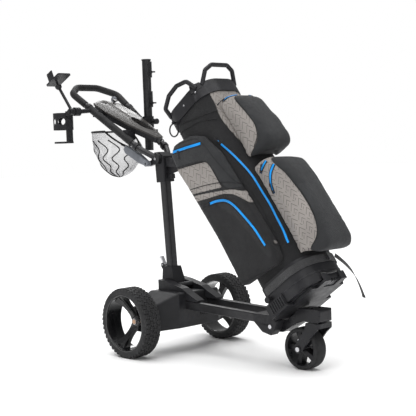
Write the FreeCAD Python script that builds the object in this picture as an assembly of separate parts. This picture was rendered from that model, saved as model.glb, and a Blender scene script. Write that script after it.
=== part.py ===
import FreeCAD, Part
import math
import os
from FreeCAD import Placement, Rotation, Vector

# Electric golf push cart with a cart bag strapped on it.
# Millimetres. +X points to the front wheel, +Y to the left side of the cart, +Z up.
# The shapes are drawn from the point on the ground under the middle of the rear axle;
# export() then moves everything back by X_SHIFT, so that the origin lies at the middle of the
# bounding box's bottom face.

# ---- driving dimensions -------------------------------------------------------------------
REAR_WHEEL_R = 145.0          # rear wheel radius
REAR_WHEEL_W = 80.0           # rear tyre width
TRACK = 531.0                 # between the middles of the rear wheels
FRONT_WHEEL_R = 81.0
FRONT_WHEEL_W = 60.0
FRONT_AXLE_X = 711.0
SWIVEL_X = 787.0              # vertical swivel axis of the front fork
LEG_PIVOT = Vector(600, 0, 160)
RAIL_Y = 62.0                 # half the distance between the two frame rails
MAST_LEAN = 3.7               # degrees towards the back
MAST_FOOT = Vector(-25, 0, 262)
MAST_LENGTH = 560.0
HANDLE_PIVOT = Vector(-62, 0, 812)
CONSOLE_TIP = Vector(-79, 0, 905)
CONSOLE_SLOPE = 24.5          # degrees, rising towards the user
UMBRELLA_X = -313.0
UMBRELLA_Y = 138.0
BAG_FOOT = Vector(714, 0, 317)
BAG_LEAN = 35.6               # degrees from the vertical, towards the back
BAG_LENGTH = 894.0
FIT = 0.06                    # radial running clearance of pins and shafts
GAP = 0.5                     # between faces that move past each other

AXLE_Z = REAR_WHEEL_R
Y_AXIS = Vector(0, 1, 0)
NODES = {}


# ---- small drawing helpers ----------------------------------------------------------------
def box(x0, x1, y0, y1, z0, z1):
    return Part.makeBox(x1 - x0, y1 - y0, z1 - z0, Vector(x0, y0, z0))


def rod(start, end, radius):
    line = Vector(end) - Vector(start)
    return Part.makeCylinder(radius, line.Length, Vector(start), line)


def y_rod(x, z, y0, y1, radius):
    return Part.makeCylinder(radius, y1 - y0, Vector(x, y0, z), Y_AXIS)


def fuse(shapes):
    first, rest = shapes[0], shapes[1:]
    return first.fuse(rest).removeSplitter() if rest else first


def cut(shape, tools):
    for tool in tools:
        shape = shape.cut(tool)
    return shape


def largest(shape):
    return max(shape.Solids, key=lambda solid: solid.Volume)


def side_prism(points, y0, y1):
    """A plate drawn in the XZ plane and given thickness along Y."""
    ring = [Vector(x, y0, z) for x, z in points]
    face = Part.Face(Part.makePolygon(ring + ring[:1]))
    return face.extrude(Vector(0, y1 - y0, 0))


def both_sides(shape):
    return [shape, shape.mirror(Vector(0, 0, 0), Y_AXIS)]


def rounded_prism(half_x, half_y, corner, z0, z1):
    """An upright prism whose section is a rectangle with round corners."""
    block = box(-half_x, half_x, -half_y, half_y, z0, z1)
    uprights = [e for e in block.Edges if abs(e.tangentAt(e.FirstParameter).z) > 0.99]
    return block.makeFillet(corner, uprights)


def round_edges(shape, radius, keep=None):
    """Round the shape's edges, or only those that keep() picks."""
    edges = [e for e in shape.Edges if keep is None or keep(e)]
    return shape.makeFillet(radius, edges)


def rounded_route(points, radius):
    """Straight runs joined by tangent arcs of one radius."""
    points = [Vector(p) for p in points]
    edges, start = [], points[0]
    for before, corner, after in zip(points, points[1:], points[2:]):
        back = (before - corner).normalize()
        ahead = (after - corner).normalize()
        half = back.getAngle(ahead) / 2
        reach = radius / math.tan(half)
        first, last = corner + back * reach, corner + ahead * reach
        middle = corner + (back + ahead).normalize() * (radius / math.sin(half) - radius)
        edges.append(Part.makeLine(start, first))
        edges.append(Part.Arc(first, middle, last).toShape())
        start = last
    edges.append(Part.makeLine(start, points[-1]))
    return Part.Wire(edges)


def bent_rod(points, bend, radius):
    wire = rounded_route(points, bend)
    start = Vector(points[0])
    circle = Part.makeCircle(radius, start, Vector(points[1]) - start)
    return wire.makePipeShell([Part.Wire(circle)], True, False)


def tilted(shape, origin, degrees):
    """Turn a shape drawn at the origin about +Y and carry it to its place."""
    shape = shape.copy()
    shape.Placement = Placement(origin, Rotation(Y_AXIS, degrees)).multiply(shape.Placement)
    return shape


def on_mast(shape):
    return tilted(shape, MAST_FOOT, -MAST_LEAN)


def on_console(shape):
    return tilted(shape, CONSOLE_TIP, CONSOLE_SLOPE)


def in_bag(shape):
    """From bag axes (X to the bag's front, Z along the bag) to the cart's."""
    return tilted(shape, BAG_FOOT, -BAG_LEAN)


def bag_point(x, y, z):
    return Placement(BAG_FOOT, Rotation(Y_AXIS, -BAG_LEAN)).multVec(Vector(x, y, z))


def console_point(x, y, z):
    return Placement(CONSOLE_TIP, Rotation(Y_AXIS, CONSOLE_SLOPE)).multVec(Vector(x, y, z))


# ---- rear wheels --------------------------------------------------------------------------
HUB_R, HUB_BORE = 24.0, 8.0
HUB_IN, HUB_OUT = -47.0, -20.0        # hub faces, measured outwards from the wheel's middle
AXLE_IN_Y = 122.0                     # inner end of each drive axle


def wheel_ring(outer, inner, width, chamfer):
    half = width / 2
    profile = [(inner, -half), (outer - chamfer, -half), (outer, -half + chamfer),
               (outer, half - chamfer), (outer - chamfer, half), (inner, half)]
    ring = [Vector(r, y, 0) for r, y in profile]
    face = Part.Face(Part.makePolygon(ring + ring[:1]))
    return face.revolve(Vector(0, 0, 0), Y_AXIS, 360)


def spoke(angle, rim_r, rim_mid, rim_deep, rim_wide, hub_r, hub_mid, hub_deep, hub_wide):
    """A tapering spoke from the hub out to the rim, drawn along +X and turned about Y."""
    def frame(r, mid, deep, wide):
        corners = [Vector(r, mid + sy * deep / 2, sz * wide / 2)
                   for sy, sz in ((-1, -1), (1, -1), (1, 1), (-1, 1))]
        return Part.makePolygon(corners + corners[:1])
    arm = Part.makeLoft([frame(hub_r, hub_mid, hub_deep, hub_wide),
                         frame(rim_r, rim_mid, rim_deep, rim_wide)], True, True)
    arm.rotate(Vector(0, 0, 0), Y_AXIS, angle)
    return arm


def rear_wheel(side, name, first_spoke):
    place = Vector(0, side * TRACK / 2, AXLE_Z)
    rim_r = REAR_WHEEL_R - 26

    def put(shape):
        shape = shape.mirror(Vector(0, 0, 0), Y_AXIS) if side < 0 else shape
        shape.translate(place)
        return shape

    tyre = wheel_ring(REAR_WHEEL_R, rim_r, REAR_WHEEL_W, 6)
    barrel = wheel_ring(rim_r, rim_r - 7, REAR_WHEEL_W, 0.5)
    hub = y_rod(0, 0, HUB_IN, HUB_OUT, HUB_R)
    spokes = [spoke(first_spoke + 120 * i, rim_r - 5, 4, 40, 62, HUB_R - 6, -34, 24, 30)
              for i in range(3)]
    rim = cut(fuse([barrel, hub] + spokes), [y_rod(0, 0, -60, 60, HUB_BORE)])
    axle = fuse([y_rod(0, 0, AXLE_IN_Y - TRACK / 2, HUB_OUT, HUB_BORE),
                 y_rod(0, 0, HUB_OUT, HUB_OUT + 4, HUB_BORE + 4)])
    NODES["rear_tyre_" + name] = put(tyre)
    NODES["rear_rim_" + name] = put(rim)
    NODES["rear_axle_" + name] = put(axle)


# ---- drive housing ------------------------------------------------------------------------
HOUSING_END_Y = 212.0
HOUSING_MID_Y = 112.0
HOUSING_X = (-55.0, 130.0)
HOUSING_Z = (108.0, 255.0)
COVER_Z = 205.0                       # the housing splits here into a base and a top cover
WALL = 5.0


def housing_shape(inset):
    def frame(y, x0, x1, z0, z1):
        corners = [Vector(x, y, z) for x, z in ((x0, z0), (x1, z0), (x1, z1), (x0, z1))]
        return Part.makePolygon(corners + corners[:1])
    middle = box(HOUSING_X[0] + inset, HOUSING_X[1] - inset, -HOUSING_MID_Y, HOUSING_MID_Y,
                 HOUSING_Z[0] + inset, HOUSING_Z[1] - inset)
    ends = []
    for side in (-1, 1):
        near = frame(side * HOUSING_MID_Y, HOUSING_X[0] + inset, HOUSING_X[1] - inset,
                     HOUSING_Z[0] + inset, HOUSING_Z[1] - inset)
        far = frame(side * (HOUSING_END_Y - inset), -48 + inset, 56 - inset, 97 + inset, 200 - inset)
        ends.append(Part.makeLoft([near, far], True, True))
    return fuse([middle] + ends)


def drive_unit():
    outside = housing_shape(0)
    outside = round_edges(outside, 9, lambda e: abs(e.tangentAt(e.FirstParameter).y) > 0.7)
    shell = outside.cut(housing_shape(WALL))
    bores = y_rod(0, AXLE_Z, -HOUSING_END_Y - 1, HOUSING_END_Y + 1, HUB_BORE + FIT)
    vents = [box(HOUSING_X[1] - WALL - 1, HOUSING_X[1] + 1, 6 + 11 * i, 11 + 11 * i, 150, 184)
             for i in range(6)]
    shell = cut(shell, [bores] + vents)
    above = box(-200, 300, -300, 300, COVER_Z, 400)
    NODES["axle_housing"] = shell.cut(above)
    NODES["housing_cover"] = shell.common(above)
    NODES["battery_pack"] = box(60, 122, -78, 0, 116, 198)
    motor = fuse([y_rod(0, AXLE_Z, 30, 96, 30), y_rod(0, AXLE_Z, 96, AXLE_IN_Y - GAP, 12)])
    feet = box(-26, 26, 34, 92, HOUSING_Z[0] + WALL, AXLE_Z - 22)
    NODES["drive_motors"] = Part.makeCompound(both_sides(motor.fuse(feet)))


# ---- frame rails and front bracket --------------------------------------------------------
RAIL_HALF = 13.0
RAIL_X = (131.0, 518.0)
RAIL_TOP = (220.0, 206.0)
RAIL_DEEP = 35.0
BRACKET_TOP = 206.0
SLOT_HALF = 32.5                      # half the slot that the folding front leg turns in


def frame_rails():
    def bar(inset):
        (x0, x1), (t0, t1) = RAIL_X, RAIL_TOP
        outline = [(x0, t0 - RAIL_DEEP + inset), (x1, t1 - RAIL_DEEP + inset),
                   (x1, t1 - inset), (x0, t0 - inset)]
        return side_prism(outline, RAIL_Y - RAIL_HALF + inset, RAIL_Y + RAIL_HALF - inset)
    outer = round_edges(bar(0), 5, lambda e: e.Length > 300)
    left = outer.cut(bar(3))
    NODES["frame_rails"] = Part.makeCompound(both_sides(left))


def front_bracket():
    half = RAIL_Y + RAIL_HALF
    outline = [(518, 171), (560, 136), (604, 127), (622, 148), (640, 184), (640, BRACKET_TOP),
               (518, BRACKET_TOP)]
    block = side_prism(outline, -half, half)
    slot = box(566, 700, -SLOT_HALF, SLOT_HALF, 100, 300)
    pocket = box(518 - 1, 552, -RAIL_Y + RAIL_HALF, RAIL_Y - RAIL_HALF, 150, 196)
    pin_hole = y_rod(LEG_PIVOT.x, LEG_PIVOT.z, -half - 1, half + 1, 8)
    bag_room = in_bag(box(-145, 300, -200, 200, TRAY_Z - 10, 300))
    NODES["front_bracket"] = cut(block, [slot, pocket, pin_hole, bag_room])


# ---- mast ---------------------------------------------------------------------------------
MAST_HALF, MAST_CORNER = 19.0, 9.0
HUB_HALF_X, HUB_HALF_Y = 29.0, 30.0
HUB_Z = (450.0, 580.0)                # along the mast
LATCH_PIVOT = Vector(-80, 0, 352)


def mast():
    tube = rounded_prism(MAST_HALF, MAST_HALF, MAST_CORNER, 2, MAST_LENGTH)
    hollow = rounded_prism(MAST_HALF - 3, MAST_HALF - 3, MAST_CORNER - 3, 0, MAST_LENGTH + 1)
    core = rounded_prism(MAST_HALF, MAST_HALF, MAST_CORNER, 0, MAST_LENGTH)
    pin_hole = y_rod(HANDLE_PIVOT.x, HANDLE_PIVOT.z, -60, 60, 6)
    NODES["mast_tube"] = on_mast(tube.cut(hollow)).cut(pin_hole)

    def ring(x0, x1, half_y, z):
        corners = [Vector(x0, -half_y, z), Vector(x1, -half_y, z),
                   Vector(x1, half_y, z), Vector(x0, half_y, z)]
        return Part.makePolygon(corners + corners[:1])
    socket = Part.makeLoft([ring(-62, 22, 36, HOUSING_Z[1]), ring(-62, -4, 27, 350)], True, True)
    ridge = side_prism([(-40, 255), (-40, 298), (8, 292), (108, 270), (142, 252), (200, 226),
                        (200, 219.3), (131, 221.8), (131, 255)], 35, 75)
    socket = fuse([socket] + both_sides(ridge))
    fold_barrel = y_rod(46, 272, -40, 40, 14)
    socket = fuse([socket, fold_barrel]).cut(on_mast(core))

    hub = rounded_prism(HUB_HALF_X, HUB_HALF_Y, 8, *HUB_Z)
    top_bevel = Part.makeBox(80, 80, 60, Vector(0, -40, 0))
    top_bevel.rotate(Vector(0, 0, 0), Y_AXIS, 40)
    top_bevel.translate(Vector(6, 0, HUB_Z[1]))
    lug = box(HUB_HALF_X - 2, HUB_HALF_X + 26, -9, 9, 462, 482)
    hub = on_mast(cut(hub.fuse(lug), [core, top_bevel]))
    NODES["mast_hub"] = hub.cut(pin_hole)

    plate = box(-72, -62, -14, 14, 262, 345)
    ears = both_sides(side_prism([(-72, 325), (-62, 345), (-72, 358), (-86, 360), (-88, 345)],
                                 10.5, 14))
    latch_hole = y_rod(LATCH_PIVOT.x, LATCH_PIVOT.z, -20, 20, 2.5)
    NODES["mast_socket"] = fuse([socket, plate] + ears).cut(latch_hole)
    barrel = y_rod(LATCH_PIVOT.x, LATCH_PIVOT.z, -9.5, 9.5, 5.5)
    hook = side_prism([(-84, 352), (-76, 352), (-84, 372), (-92, 388), (-101, 388), (-104, 380),
                       (-97, 379), (-90, 366)], -8, 8)
    lever = barrel.fuse(hook)
    NODES["latch_lever"] = lever.cut(
        y_rod(LATCH_PIVOT.x, LATCH_PIVOT.z, -20, 20, 2.5 + FIT))
    NODES["hinge_pins"] = Part.makeCompound([
        y_rod(HANDLE_PIVOT.x, HANDLE_PIVOT.z, -50, 50, 6),
        y_rod(LEG_PIVOT.x, LEG_PIVOT.z, -RAIL_Y - RAIL_HALF, RAIL_Y + RAIL_HALF, 8),
        y_rod(LATCH_PIVOT.x, LATCH_PIVOT.z, -14, 14, 2.5)])


# ---- bag supports -------------------------------------------------------------------------
BACK_X = -138.0                       # the bag's back face, in bag axes
TRAY_Z = -52.0                        # upper face of the lower tray, in bag axes


def upper_bag_bracket():
    plate = box(BACK_X - 26, BACK_X - 17, -78, 78, 655, 735)
    wing = Part.makeBox(8, 34, 80, Vector(0, 0, 655))
    wing.rotate(Vector(0, 0, 0), Vector(0, 0, 1), -32)
    wing.translate(Vector(BACK_X - 25.4, 76, 0))
    cradle = in_bag(fuse([plate] + both_sides(wing)))
    arm = side_prism([(-60, 778), (-60, 814), (170, 814), (200, 770)], -15, 15)
    brace = side_prism([(-60, 735), (-60, 778), (120, 778)], -5, 5)
    in_front = in_bag(box(BACK_X - 26, 400, -200, 200, 0, 1500))
    arm = cut(fuse([arm, brace]), [in_front, NODES["mast_hub"], NODES["hinge_pins"]])
    NODES["upper_bag_bracket"] = fuse([cradle, largest(arm)])


def lower_bag_tray():
    plate = box(-128, 100, -92, 92, TRAY_Z - 10, TRAY_Z)
    wing = box(-112, -10, 90, 127, TRAY_Z - 10, TRAY_Z)
    wall = box(-112, -10, 122.5, 127, TRAY_Z - 10, -8)
    combs = [box(-2 - 12 * i - 4, -2 - 12 * i, 127, 130.5, TRAY_Z, -14) for i in range(1, 8)]
    lip = [box(95, 150, 30, 62, TRAY_Z - 10, TRAY_Z), box(144.5, 150, 30, 62, TRAY_Z - 10, -30)]
    sides = [s for part in [wing, wall] + combs + lip for s in both_sides(part)]
    tray = in_bag(fuse([plate] + sides))
    ear = side_prism([(600, BRACKET_TOP), (648, BRACKET_TOP), (705, 242), (690, 262), (640, 222),
                      (600, 218)], 34, 48)
    above = in_bag(box(-300, 300, -200, 200, TRAY_Z - 10, 300))
    ears = [e.cut(above) for e in both_sides(ear)]
    knob = fuse([box(-90, -66, 122.5, 127, -8, 12), rod((-78, 126, 4), (-78, 131, 4), 8),
                 rod((-78, 131, 4), (-78, 138, 4), 12)])
    NODES["lower_bag_tray"] = fuse([tray] + ears + [in_bag(s) for s in both_sides(knob)])


# ---- folding front leg, fork and wheel ----------------------------------------------------
NOSE_Z = (189.0, 238.0)


def front_leg():
    lug = y_rod(LEG_PIVOT.x, LEG_PIVOT.z, -32, 32, 25)
    arm = side_prism([(600, 135), (629, 137), (700, 178), (737, NOSE_Z[0]), (760, NOSE_Z[0]),
                      (760, NOSE_Z[1]), (714, NOSE_Z[1] - 2), (655, 187), (600, 185)], -32, 32)
    nose = box(752, 816, -40, 40, *NOSE_Z)
    nose = round_edges(nose, 10, lambda e: e.CenterOfMass.x > 770 and abs(
        e.tangentAt(e.FirstParameter).x) < 0.1)
    race = Part.makeCylinder(22, 4, Vector(SWIVEL_X, 0, NOSE_Z[0] - 3))
    screws = [Part.makeCylinder(5, 4, Vector(768, y, NOSE_Z[1] - 1)) for y in (-22, 22)]
    leg = fuse([lug, arm, nose, race] + screws)
    stem_hole = Part.makeCylinder(9 + FIT, 40, Vector(SWIVEL_X, 0, 180))
    pin_hole = y_rod(LEG_PIVOT.x, LEG_PIVOT.z, -40, 40, 8 + FIT)
    NODES["front_leg"] = cut(leg, [stem_hole, pin_hole])


def front_fork():
    half = FRONT_WHEEL_W / 2
    crown_top = NOSE_Z[0] - 3 - GAP
    crown = box(752, 815, -half - 13, half + 13, crown_top - 18, crown_top)
    crown = round_edges(crown, 12, lambda e: e.CenterOfMass.x > 814 and abs(
        e.tangentAt(e.FirstParameter).z) > 0.9)
    blade = side_prism([(752, crown_top), (806, crown_top), (808, crown_top - 22), (784, 142),
                        (722, 66), (700, 66), (695, 92), (746, crown_top - 24)],
                       half + 5, half + 13)
    end = y_rod(FRONT_AXLE_X, FRONT_WHEEL_R, half + 5, half + 13, 17)
    blades = [s for part in (blade, end) for s in both_sides(part)]
    stem = Part.makeCylinder(9, 30, Vector(SWIVEL_X, 0, crown_top - 1))
    fork = fuse([crown] + blades).fuse(stem)
    axle_hole = y_rod(FRONT_AXLE_X, FRONT_WHEEL_R, -90, 90, 5)
    NODES["front_fork"] = fork.cut(axle_hole)
    axle = y_rod(FRONT_AXLE_X, FRONT_WHEEL_R, -half - 13, half + 13, 5)
    heads = both_sides(y_rod(FRONT_AXLE_X, FRONT_WHEEL_R, half + 13, half + 17, 9))
    NODES["front_axle"] = fuse([axle] + heads)


def front_wheel():
    rim_r = FRONT_WHEEL_R - 12
    tyre = wheel_ring(FRONT_WHEEL_R, rim_r, FRONT_WHEEL_W, 5)
    barrel = wheel_ring(rim_r, rim_r - 5, FRONT_WHEEL_W - 2, 0.5)
    hub = y_rod(0, 0, -FRONT_WHEEL_W / 2 - 3, FRONT_WHEEL_W / 2 + 3, 13)
    spokes = [spoke(36 + 72 * i, rim_r - 3, 0, 30, 22, 10, 0, 34, 14) for i in range(5)]
    rim = cut(fuse([barrel, hub] + spokes), [y_rod(0, 0, -60, 60, 5 + FIT)])
    for name, shape in (("front_tyre", tyre), ("front_rim", rim)):
        shape.translate(Vector(FRONT_AXLE_X, 0, FRONT_WHEEL_R))
        NODES[name] = shape


# ---- handle -------------------------------------------------------------------------------
ARM_R, SLEEVE_R, GRIP_R = 13.0, 16.5, 15.5
ARM_START = Vector(-70, 39, 818)
ARM_ELBOW = Vector(-130, 78, 858)
ARM_END = Vector(-440, 118, 1062)
GRIP_CORNERS = [(-522, 128.6, 1116), (-582, 58, 1150)]


def mirrored(point):
    return Vector(point[0], -point[1], point[2])


def handle_frame():
    arm = bent_rod([ARM_START, ARM_ELBOW, ARM_END], 40, ARM_R)
    lug = y_rod(HANDLE_PIVOT.x, HANDLE_PIVOT.z, 31, 47, 24)
    hub_room = on_mast(rounded_prism(HUB_HALF_X + GAP, HUB_HALF_Y + GAP, 8, *HUB_Z))
    bore = y_rod(HANDLE_PIVOT.x, HANDLE_PIVOT.z, -60, 60, 6 + FIT)
    arm = cut(fuse([arm, lug]), [bore, hub_room, y_rod(HANDLE_PIVOT.x, HANDLE_PIVOT.z, 0, 31, 40)])
    tab = side_prism([(-62, 790), (-100, 780), (-108, 792), (-98, 803), (-70, 815)], -47, -33)
    tab_pin = y_rod(LEVER_PIVOT.x, LEVER_PIVOT.z, -74, -47, 4)
    NODES["handle_arm_left"] = arm
    right = arm.mirror(Vector(0, 0, 0), Y_AXIS)
    NODES["handle_arm_right"] = fuse([right, tab.cut(bore), tab_pin])
    line = ARM_END - ARM_ELBOW
    start, end = ARM_ELBOW + line * 0.12, ARM_ELBOW + line * 0.93
    sleeve = rod(start, end, SLEEVE_R).cut(rod(start, end, ARM_R))
    NODES["arm_sleeves"] = Part.makeCompound(both_sides(sleeve))
    near = [ARM_END] + [Vector(p) for p in GRIP_CORNERS]
    route = near + [mirrored(p) for p in reversed(near)]
    NODES["handle_grip"] = bent_rod(route, 46, GRIP_R)


LEVER_PIVOT = Vector(-98, 0, 792)


def lock_lever():
    blade = side_prism([(-98, 781), (-150, 796), (-236, 840), (-246, 856), (-238, 872),
                        (-222, 874), (-140, 834), (-90, 801)], -72, -50)
    blade = round_edges(blade, 5, lambda e: abs(e.tangentAt(e.FirstParameter).y) < 0.1)
    boss = y_rod(LEVER_PIVOT.x, LEVER_PIVOT.z, -72, -50, 12)
    bore = y_rod(LEVER_PIVOT.x, LEVER_PIVOT.z, -80, -40, 4 + FIT)
    NODES["lock_lever"] = fuse([blade, boss]).cut(bore)


CONSOLE_OUTLINE = [(0, 18), (-150, 62), (-300, 82), (-395, 76), (-425, 30)]
BUTTON_AT = (-388.0, -24.0)
HOLE_AT, HOLE_HALF = -133.0, (75.0, 26.0)


def console_block(z0, z1, inset):
    half = [(x - inset if x > -10 else x + inset, y - inset) for x, y in CONSOLE_OUTLINE]
    ring = [Vector(x, y, z0) for x, y in half] + [Vector(x, -y, z0) for x, y in reversed(half)]
    block = Part.Face(Part.makePolygon(ring + ring[:1])).extrude(Vector(0, 0, z1 - z0))
    return round_edges(block, 12, lambda e: abs(e.tangentAt(e.FirstParameter).z) > 0.9)


def console_hole(z0, z1, grow):
    ellipse = Part.Ellipse(Vector(HOLE_AT, 0, z0), HOLE_HALF[0] + grow, HOLE_HALF[1] + grow)
    return Part.Face(Part.Wire(ellipse.toShape())).extrude(Vector(0, 0, z1 - z0))


def console():
    cover = cut(console_block(-7, 0, 0), [console_hole(-9, 2, 0)])
    well = Part.makeCylinder(11, 12, Vector(*BUTTON_AT, -9))
    clip_post = Part.makeCylinder(4, 13, Vector(-402, 46, -1))
    clip = box(-412, -392, 40, 56, 12, 17)
    NODES["console_cover"] = on_console(fuse([cover.cut(well), clip_post, clip]))
    base = console_block(-30, -7, 5)
    room = console_block(-27, -7, 8)
    ring = console_hole(-30, -7, 5).cut(console_hole(-30, -7, 0))
    base = cut(base.cut(room).fuse(ring), [console_hole(-31, 0, 0)])
    NODES["console_base"] = on_console(base)
    board = box(-370, -230, -45, 45, -24, -21)
    NODES["control_board"] = on_console(board)
    button = Part.makeCylinder(10.4, 9, Vector(*BUTTON_AT, -7.5))
    NODES["power_button"] = on_console(button)


def console_mounts():
    sides = [box(-400, -360, 66, 112, 1006, 1032), box(-222, -192, 44, 88, 898, 942)]
    keep_off = [NODES[n] for n in ("console_base", "console_cover", "handle_arm_left",
                                   "handle_arm_right", "arm_sleeves")]
    inside = on_console(console_block(-40, 20, 7))
    pieces = []
    for side in sides:
        for piece in both_sides(side):
            piece = cut(piece, keep_off + [inside])
            pieces.append(largest(piece))
    pieces.append(dial_mount())
    NODES["console_mounts"] = Part.makeCompound(pieces)


DIAL_AT = Vector(-500, 0, 1092)


def dial_mount():
    boss = y_rod(DIAL_AT.x, DIAL_AT.z, 98, 118, 7).cut(NODES["handle_grip"])
    boss = min(boss.Solids, key=lambda solid: solid.CenterOfMass.y)
    return boss.fuse(y_rod(DIAL_AT.x, DIAL_AT.z, 84, 98, 3))


def speed_dial():
    dial = y_rod(DIAL_AT.x, DIAL_AT.z, 84, 97.5, 14)
    dial = round_edges(dial, 2, lambda e: e.CenterOfMass.y < 85)
    NODES["speed_dial"] = dial.cut(y_rod(DIAL_AT.x, DIAL_AT.z, 80, 99, 3 + FIT))


# ---- net pouch ----------------------------------------------------------------------------
NET_CENTRE = Vector(-366, 0, 940)
NET_SIZE = (172.0, 78.0, 208.0)       # half lengths along X, Y and Z
NET_SKIN = 4.0


def net_pouch():
    def ellipsoid(inset):
        ball = Part.makeSphere(1.0)
        grow = FreeCAD.Matrix()
        grow.scale(*(s - inset for s in NET_SIZE))
        return ball.transformGeometry(grow).translated(NET_CENTRE)
    above = Part.makeBox(700, 400, 400, Vector(-350, -200, 0))
    above = tilted(above, NET_CENTRE + Vector(-10, 0, 8), 33)
    NODES["net_pouch"] = ellipsoid(0).cut(ellipsoid(NET_SKIN)).cut(above)


# ---- umbrella holder ----------------------------------------------------------------------
UMBRELLA_JOINT_Z, UMBRELLA_TOP_Z, UMBRELLA_FOOT_Z = 1126.0, 1264.0, 850.0
SOCKET_BORE_R, SOCKET_DEPTH = 12.5, 120.0


def umbrella_rod(z0, z1, radius):
    return Part.makeCylinder(radius, z1 - z0, Vector(UMBRELLA_X, UMBRELLA_Y, z0))


def thumbscrew(z):
    """A wing screw along +X whose shank turns in the tube's boss."""
    x = UMBRELLA_X
    shank = rod((x + 19, UMBRELLA_Y, z), (x + 30, UMBRELLA_Y, z), 4)
    collar = rod((x + 28.5, UMBRELLA_Y, z), (x + 34, UMBRELLA_Y, z), 7)
    wings = box(x + 34, x + 48, UMBRELLA_Y - 12, UMBRELLA_Y + 12, z - 3, z + 3)
    wings = round_edges(wings, 2.5, lambda e: abs(e.tangentAt(e.FirstParameter).z) > 0.9)
    return fuse([shank, collar, wings])


def screw_hole(z):
    return rod((UMBRELLA_X + 15, UMBRELLA_Y, z), (UMBRELLA_X + 30, UMBRELLA_Y, z), 4 + FIT)


def umbrella_holder():
    x, y = UMBRELLA_X, UMBRELLA_Y
    lower_boss = box(x + 12, x + 28, y - 8, y + 8, 1046, 1118)
    tube = umbrella_rod(UMBRELLA_FOOT_Z, UMBRELLA_JOINT_Z, 19).fuse(lower_boss)
    tube = cut(tube, [umbrella_rod(UMBRELLA_FOOT_Z + 4, UMBRELLA_JOINT_Z + 1, 16.5),
                      screw_hole(LOWER_SCREW_Z)])
    NODES["umbrella_tube"] = tube
    upper_boss = box(x + 12, x + 28, y - 8, y + 8, 1180, 1252)
    head = fuse([umbrella_rod(UMBRELLA_JOINT_Z + GAP, UMBRELLA_TOP_Z, 19.5),
                 umbrella_rod(UMBRELLA_TOP_Z - 6, UMBRELLA_TOP_Z, 21.5), upper_boss,
                 umbrella_rod(UMBRELLA_JOINT_Z - 160, UMBRELLA_JOINT_Z + 2, 16.1)])
    socket = umbrella_rod(UMBRELLA_TOP_Z - SOCKET_DEPTH, UMBRELLA_TOP_Z + 1, SOCKET_BORE_R)
    NODES["umbrella_extension"] = cut(head, [socket, screw_hole(UPPER_SCREW_Z)])
    NODES["thumbscrew_lower"] = thumbscrew(LOWER_SCREW_Z)
    NODES["thumbscrew_upper"] = thumbscrew(UPPER_SCREW_Z)
    clamp = fuse([umbrella_rod(955, 1005, 25), box(x - 18, x + 18, 96, y, 962, 998),
                  rod((x + 20, y, 980), (x + 44, y, 980), 6),
                  rod((x + 44, y, 980), (x + 60, y, 980), 13)])
    keep_off = [umbrella_rod(900, 1100, 19)] + [NODES[n] for n in (
        "arm_sleeves", "handle_arm_left", "console_base", "console_cover")]
    clamp = cut(clamp, keep_off)
    NODES["umbrella_clamp"] = largest(clamp)


LOWER_SCREW_Z, UPPER_SCREW_Z = 1064.0, 1204.0


# ---- accessories on the right of the handle -----------------------------------------------
KNUCKLE = Vector(-395, 0, 1030)
PHONE_BALL = Vector(-494, -225, 1146)
PHONE_TILT = -26.0
CUP_AT = Vector(-470, -224, 0)
CUP_R, CUP_WALL = 44.0, 3.0
CUP_Z = (893.0, 952.0, 1027.0)        # floor, foot of the ring, top of the ring


def accessory_bar():
    bar = fuse([rod((-405, -112, 1036), (-395, -194, 1030), 10),
                y_rod(KNUCKLE.x, KNUCKLE.z, -218, -190, 19),
                y_rod(KNUCKLE.x, KNUCKLE.z, -246, -217, 5),
                y_rod(KNUCKLE.x, KNUCKLE.z, -249, -245, 9)])
    bar = cut(bar, [NODES["arm_sleeves"], NODES["handle_arm_right"], NODES["handle_grip"]])
    NODES["accessory_bar"] = largest(bar)


def phone_holder():
    bore = y_rod(KNUCKLE.x, KNUCKLE.z, -260, -180, 5 + FIT)
    eye = y_rod(KNUCKLE.x, KNUCKLE.z, -231, -219, 14)
    toe = Vector(KNUCKLE.x - 9, -225, KNUCKLE.z + 6)
    stem = rod(toe, PHONE_BALL, 6.5)
    cup = Part.makeSphere(15, PHONE_BALL)
    room = Part.makeSphere(10 + 0.35, PHONE_BALL)
    mouth = Part.makeBox(60, 60, 40, Vector(-30, -30, 3))
    mouth = tilted(mouth, PHONE_BALL, PHONE_TILT)
    NODES["phone_stem"] = cut(fuse([eye, stem, cup]), [bore, room, mouth])

    def on_phone(shape):
        return tilted(shape, PHONE_BALL, PHONE_TILT)
    ball = Part.makeSphere(10, Vector(0, 0, 0))
    neck = Part.makeCylinder(5, 22, Vector(0, 0, 2))
    plate = box(-38, 68, -34, 34, 22, 29)
    plate = round_edges(plate, 6, lambda e: abs(e.tangentAt(e.FirstParameter).z) > 0.9)
    lip = box(-10, 40, 30, 34, 28, 40)
    slot = box(-5.5, 35.5, -40, 10, 23.5, 26.5)
    NODES["phone_plate"] = on_phone(cut(fuse([ball, neck, plate, lip]), [slot]))
    tongue = box(-5, 35, -36, 2, 24, 26)
    jaw = box(-5, 35, -39, -34.5, 22, 62)
    NODES["phone_jaw"] = on_phone(fuse([tongue, jaw]))


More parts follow.
